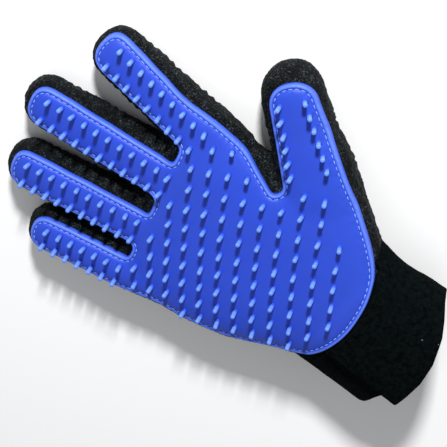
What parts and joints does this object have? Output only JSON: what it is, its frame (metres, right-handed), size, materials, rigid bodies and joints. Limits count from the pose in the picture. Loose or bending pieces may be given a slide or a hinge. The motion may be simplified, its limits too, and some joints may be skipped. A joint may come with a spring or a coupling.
{
  "type": "grooming glove",
  "caption": "Five-finger glove for the right hand with a moulded pad of soft tips on the palm and fingers, a mesh back and a hook-and-loop wrist strap, for brushing loose hair from pets.",
  "frame": {"origin": "on the flat resting face of the glove's back, under the middle of the palm", "axes": "+Z out of the palm, +Y from the wrist to the fingertips, +X towards the thumb"},
  "size_m": [0.1721, 0.2395, 0.0447],
  "materials": {
    "silicone": "satin",
    "lining": "matte",
    "mesh": "matte",
    "cuff_fabric": "matte",
    "strap_fabric": "matte",
    "hook_tape": "matte",
    "loop_tape": "matte"
  },
  "bodies": {
    "palm": {"hand_back": "mesh", "palm_lining": "lining", "palm_pad": "silicone", "cuff_band": "cuff_fabric", "strap_root": "strap_fabric", "loop_patch": "loop_tape"},
    "index_base": {"index_base_back": "mesh", "index_base_lining": "lining", "index_base_pad": "silicone"},
    "index_middle": {"index_middle_back": "mesh", "index_middle_lining": "lining", "index_middle_pad": "silicone"},
    "index_end": {"index_end_back": "mesh", "index_end_lining": "lining", "index_end_pad": "silicone"},
    "middle_base": {"middle_base_back": "mesh", "middle_base_lining": "lining", "middle_base_pad": "silicone"},
    "middle_middle": {"middle_middle_back": "mesh", "middle_middle_lining": "lining", "middle_middle_pad": "silicone"},
    "middle_end": {"middle_end_back": "mesh", "middle_end_lining": "lining", "middle_end_pad": "silicone"},
    "ring_base": {"ring_base_back": "mesh", "ring_base_lining": "lining", "ring_base_pad": "silicone"},
    "ring_middle": {"ring_middle_back": "mesh", "ring_middle_lining": "lining", "ring_middle_pad": "silicone"},
    "ring_end": {"ring_end_back": "mesh", "ring_end_lining": "lining", "ring_end_pad": "silicone"},
    "little_base": {"little_base_back": "mesh", "little_base_lining": "lining", "little_base_pad": "silicone"},
    "little_middle": {"little_middle_back": "mesh", "little_middle_lining": "lining", "little_middle_pad": "silicone"},
    "little_end": {"little_end_back": "mesh", "little_end_lining": "lining", "little_end_pad": "silicone"},
    "thumb_base": {"thumb_base_back": "mesh", "thumb_base_lining": "lining", "thumb_base_pad": "silicone"},
    "thumb_end": {"thumb_end_back": "mesh", "thumb_end_lining": "lining", "thumb_end_pad": "silicone"},
    "strap": {"strap_middle": "strap_fabric"},
    "strap_end": {"strap_tab": "strap_fabric", "hook_patch": "hook_tape"}
  },
  "joints": [
    {"name": "index_base_bend", "type": "hinge", "parent": "palm", "child": "index_base", "pos_m": [0.0426, 0.06256, 0.02503], "axis": [0.9863, -0.165, 0], "range_deg": [0, 65]},
    {"name": "index_middle_bend", "type": "hinge", "parent": "index_base", "child": "index_middle", "pos_m": [0.04601, 0.08297, 0.02259], "axis": [0.9863, -0.165, 0], "range_deg": [0, 65]},
    {"name": "index_end_bend", "type": "hinge", "parent": "index_middle", "child": "index_end", "pos_m": [0.04829, 0.09659, 0.02142], "axis": [0.9863, -0.165, 0], "range_deg": [0, 45]},
    {"name": "middle_base_bend", "type": "hinge", "parent": "palm", "child": "middle_base", "pos_m": [0.01039, 0.06332, 0.02495], "axis": [0.9954, 0.0958, 0], "range_deg": [0, 65]},
    {"name": "middle_middle_bend", "type": "hinge", "parent": "middle_base", "child": "middle_middle", "pos_m": [0.00775, 0.09079, 0.02231], "axis": [0.9954, 0.0958, 0], "range_deg": [0, 65]},
    {"name": "middle_end_bend", "type": "hinge", "parent": "middle_middle", "child": "middle_end", "pos_m": [0.00576, 0.1114, 0.02079], "axis": [0.9954, 0.0958, 0], "range_deg": [0, 45]},
    {"name": "ring_base_bend", "type": "hinge", "parent": "palm", "child": "ring_base", "pos_m": [-0.02196, 0.06257, 0.02503], "axis": [0.9833, 0.1822, 0], "range_deg": [0, 65]},
    {"name": "ring_middle_bend", "type": "hinge", "parent": "ring_base", "child": "ring_middle", "pos_m": [-0.02573, 0.08292, 0.02322], "axis": [0.9833, 0.1822, 0], "range_deg": [0, 65]},
    {"name": "ring_end_bend", "type": "hinge", "parent": "ring_middle", "child": "ring_end", "pos_m": [-0.0295, 0.10328, 0.02152], "axis": [0.9833, 0.1822, 0], "range_deg": [0, 45]},
    {"name": "little_base_bend", "type": "hinge", "parent": "palm", "child": "little_base", "pos_m": [-0.04899, 0.05044, 0.0263], "axis": [0.9763, 0.2164, 0], "range_deg": [0, 65]},
    {"name": "little_middle_bend", "type": "hinge", "parent": "little_base", "child": "little_middle", "pos_m": [-0.05197, 0.06391, 0.02448], "axis": [0.9763, 0.2164, 0], "range_deg": [0, 65]},
    {"name": "little_end_bend", "type": "hinge", "parent": "little_middle", "child": "little_end", "pos_m": [-0.05496, 0.07739, 0.02334], "axis": [0.9763, 0.2164, 0], "range_deg": [0, 45]},
    {"name": "thumb_base_bend", "type": "hinge", "parent": "palm", "child": "thumb_base", "pos_m": [0.05997, -0.00173, 0.03178], "axis": [0.7431, -0.6691, 0], "range_deg": [0, 50]},
    {"name": "thumb_end_bend", "type": "hinge", "parent": "thumb_base", "child": "thumb_end", "pos_m": [0.07382, 0.01365, 0.02928], "axis": [0.7431, -0.6691, 0], "range_deg": [0, 60]},
    {"name": "strap_open", "type": "hinge", "parent": "palm", "child": "strap", "pos_m": [0.0335, -0.082, 0.0369], "axis": [0, 0.995, -0.0995], "range_deg": [0, 100]},
    {"name": "strap_end_peel", "type": "hinge", "parent": "strap", "child": "strap_end", "pos_m": [0.012, -0.082, 0.0423], "axis": [0, 0.9929, -0.1191], "range_deg": [0, 50]}
  ],
  "couplings": [
    {"joint": "index_end_bend", "follows": "index_middle_bend", "ratio": 0.65},
    {"joint": "middle_end_bend", "follows": "middle_middle_bend", "ratio": 0.65},
    {"joint": "ring_end_bend", "follows": "ring_middle_bend", "ratio": 0.65},
    {"joint": "little_end_bend", "follows": "little_middle_bend", "ratio": 0.65}
  ]
}
